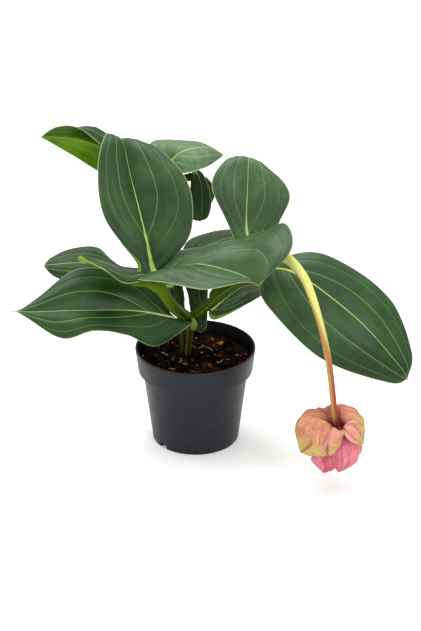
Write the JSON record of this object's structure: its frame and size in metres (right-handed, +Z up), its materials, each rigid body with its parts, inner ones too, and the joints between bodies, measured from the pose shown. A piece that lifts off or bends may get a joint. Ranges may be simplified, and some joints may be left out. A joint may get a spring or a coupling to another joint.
{
  "type": "potted medinilla plant",
  "caption": "Medinilla in a plastic nursery pot: broad ribbed leaves on branching fleshy stems, and one hanging pink bloom of layered bracts on an arching stalk.",
  "frame": {"origin": "centre of the pot's flat bottom, on the surface it stands on", "axes": "+Z up along the pot's axis, +X towards the side the flower stalk leans to, +Y away from the side the bloom hangs on"},
  "size_m": [0.3832, 0.2107, 0.3137],
  "materials": {
    "pot": "satin",
    "soil": "matte",
    "stem": "satin",
    "stalk": "satin",
    "leaf": "satin",
    "bloom": "satin"
  },
  "bodies": {
    "root": {"pot": "pot", "soil": "soil", "stem_front": "stem", "stem_back": "stem", "flower_stalk": "stalk", "bloom": "bloom", "leaf_front_up": "leaf", "leaf_right_up": "leaf", "leaf_front_broad": "leaf", "leaf_front_left": "leaf", "leaf_low_left": "leaf", "leaf_back_left": "leaf", "leaf_right_low": "leaf", "leaf_right_inner": "leaf", "leaf_hanging_right": "leaf", "leaf_hanging_back": "leaf", "leaf_top_left": "leaf", "leaf_top_right": "leaf", "leaf_top_hanging": "leaf", "leaf_young": "leaf", "leaf_behind": "leaf"}
  },
  "joints": []
}
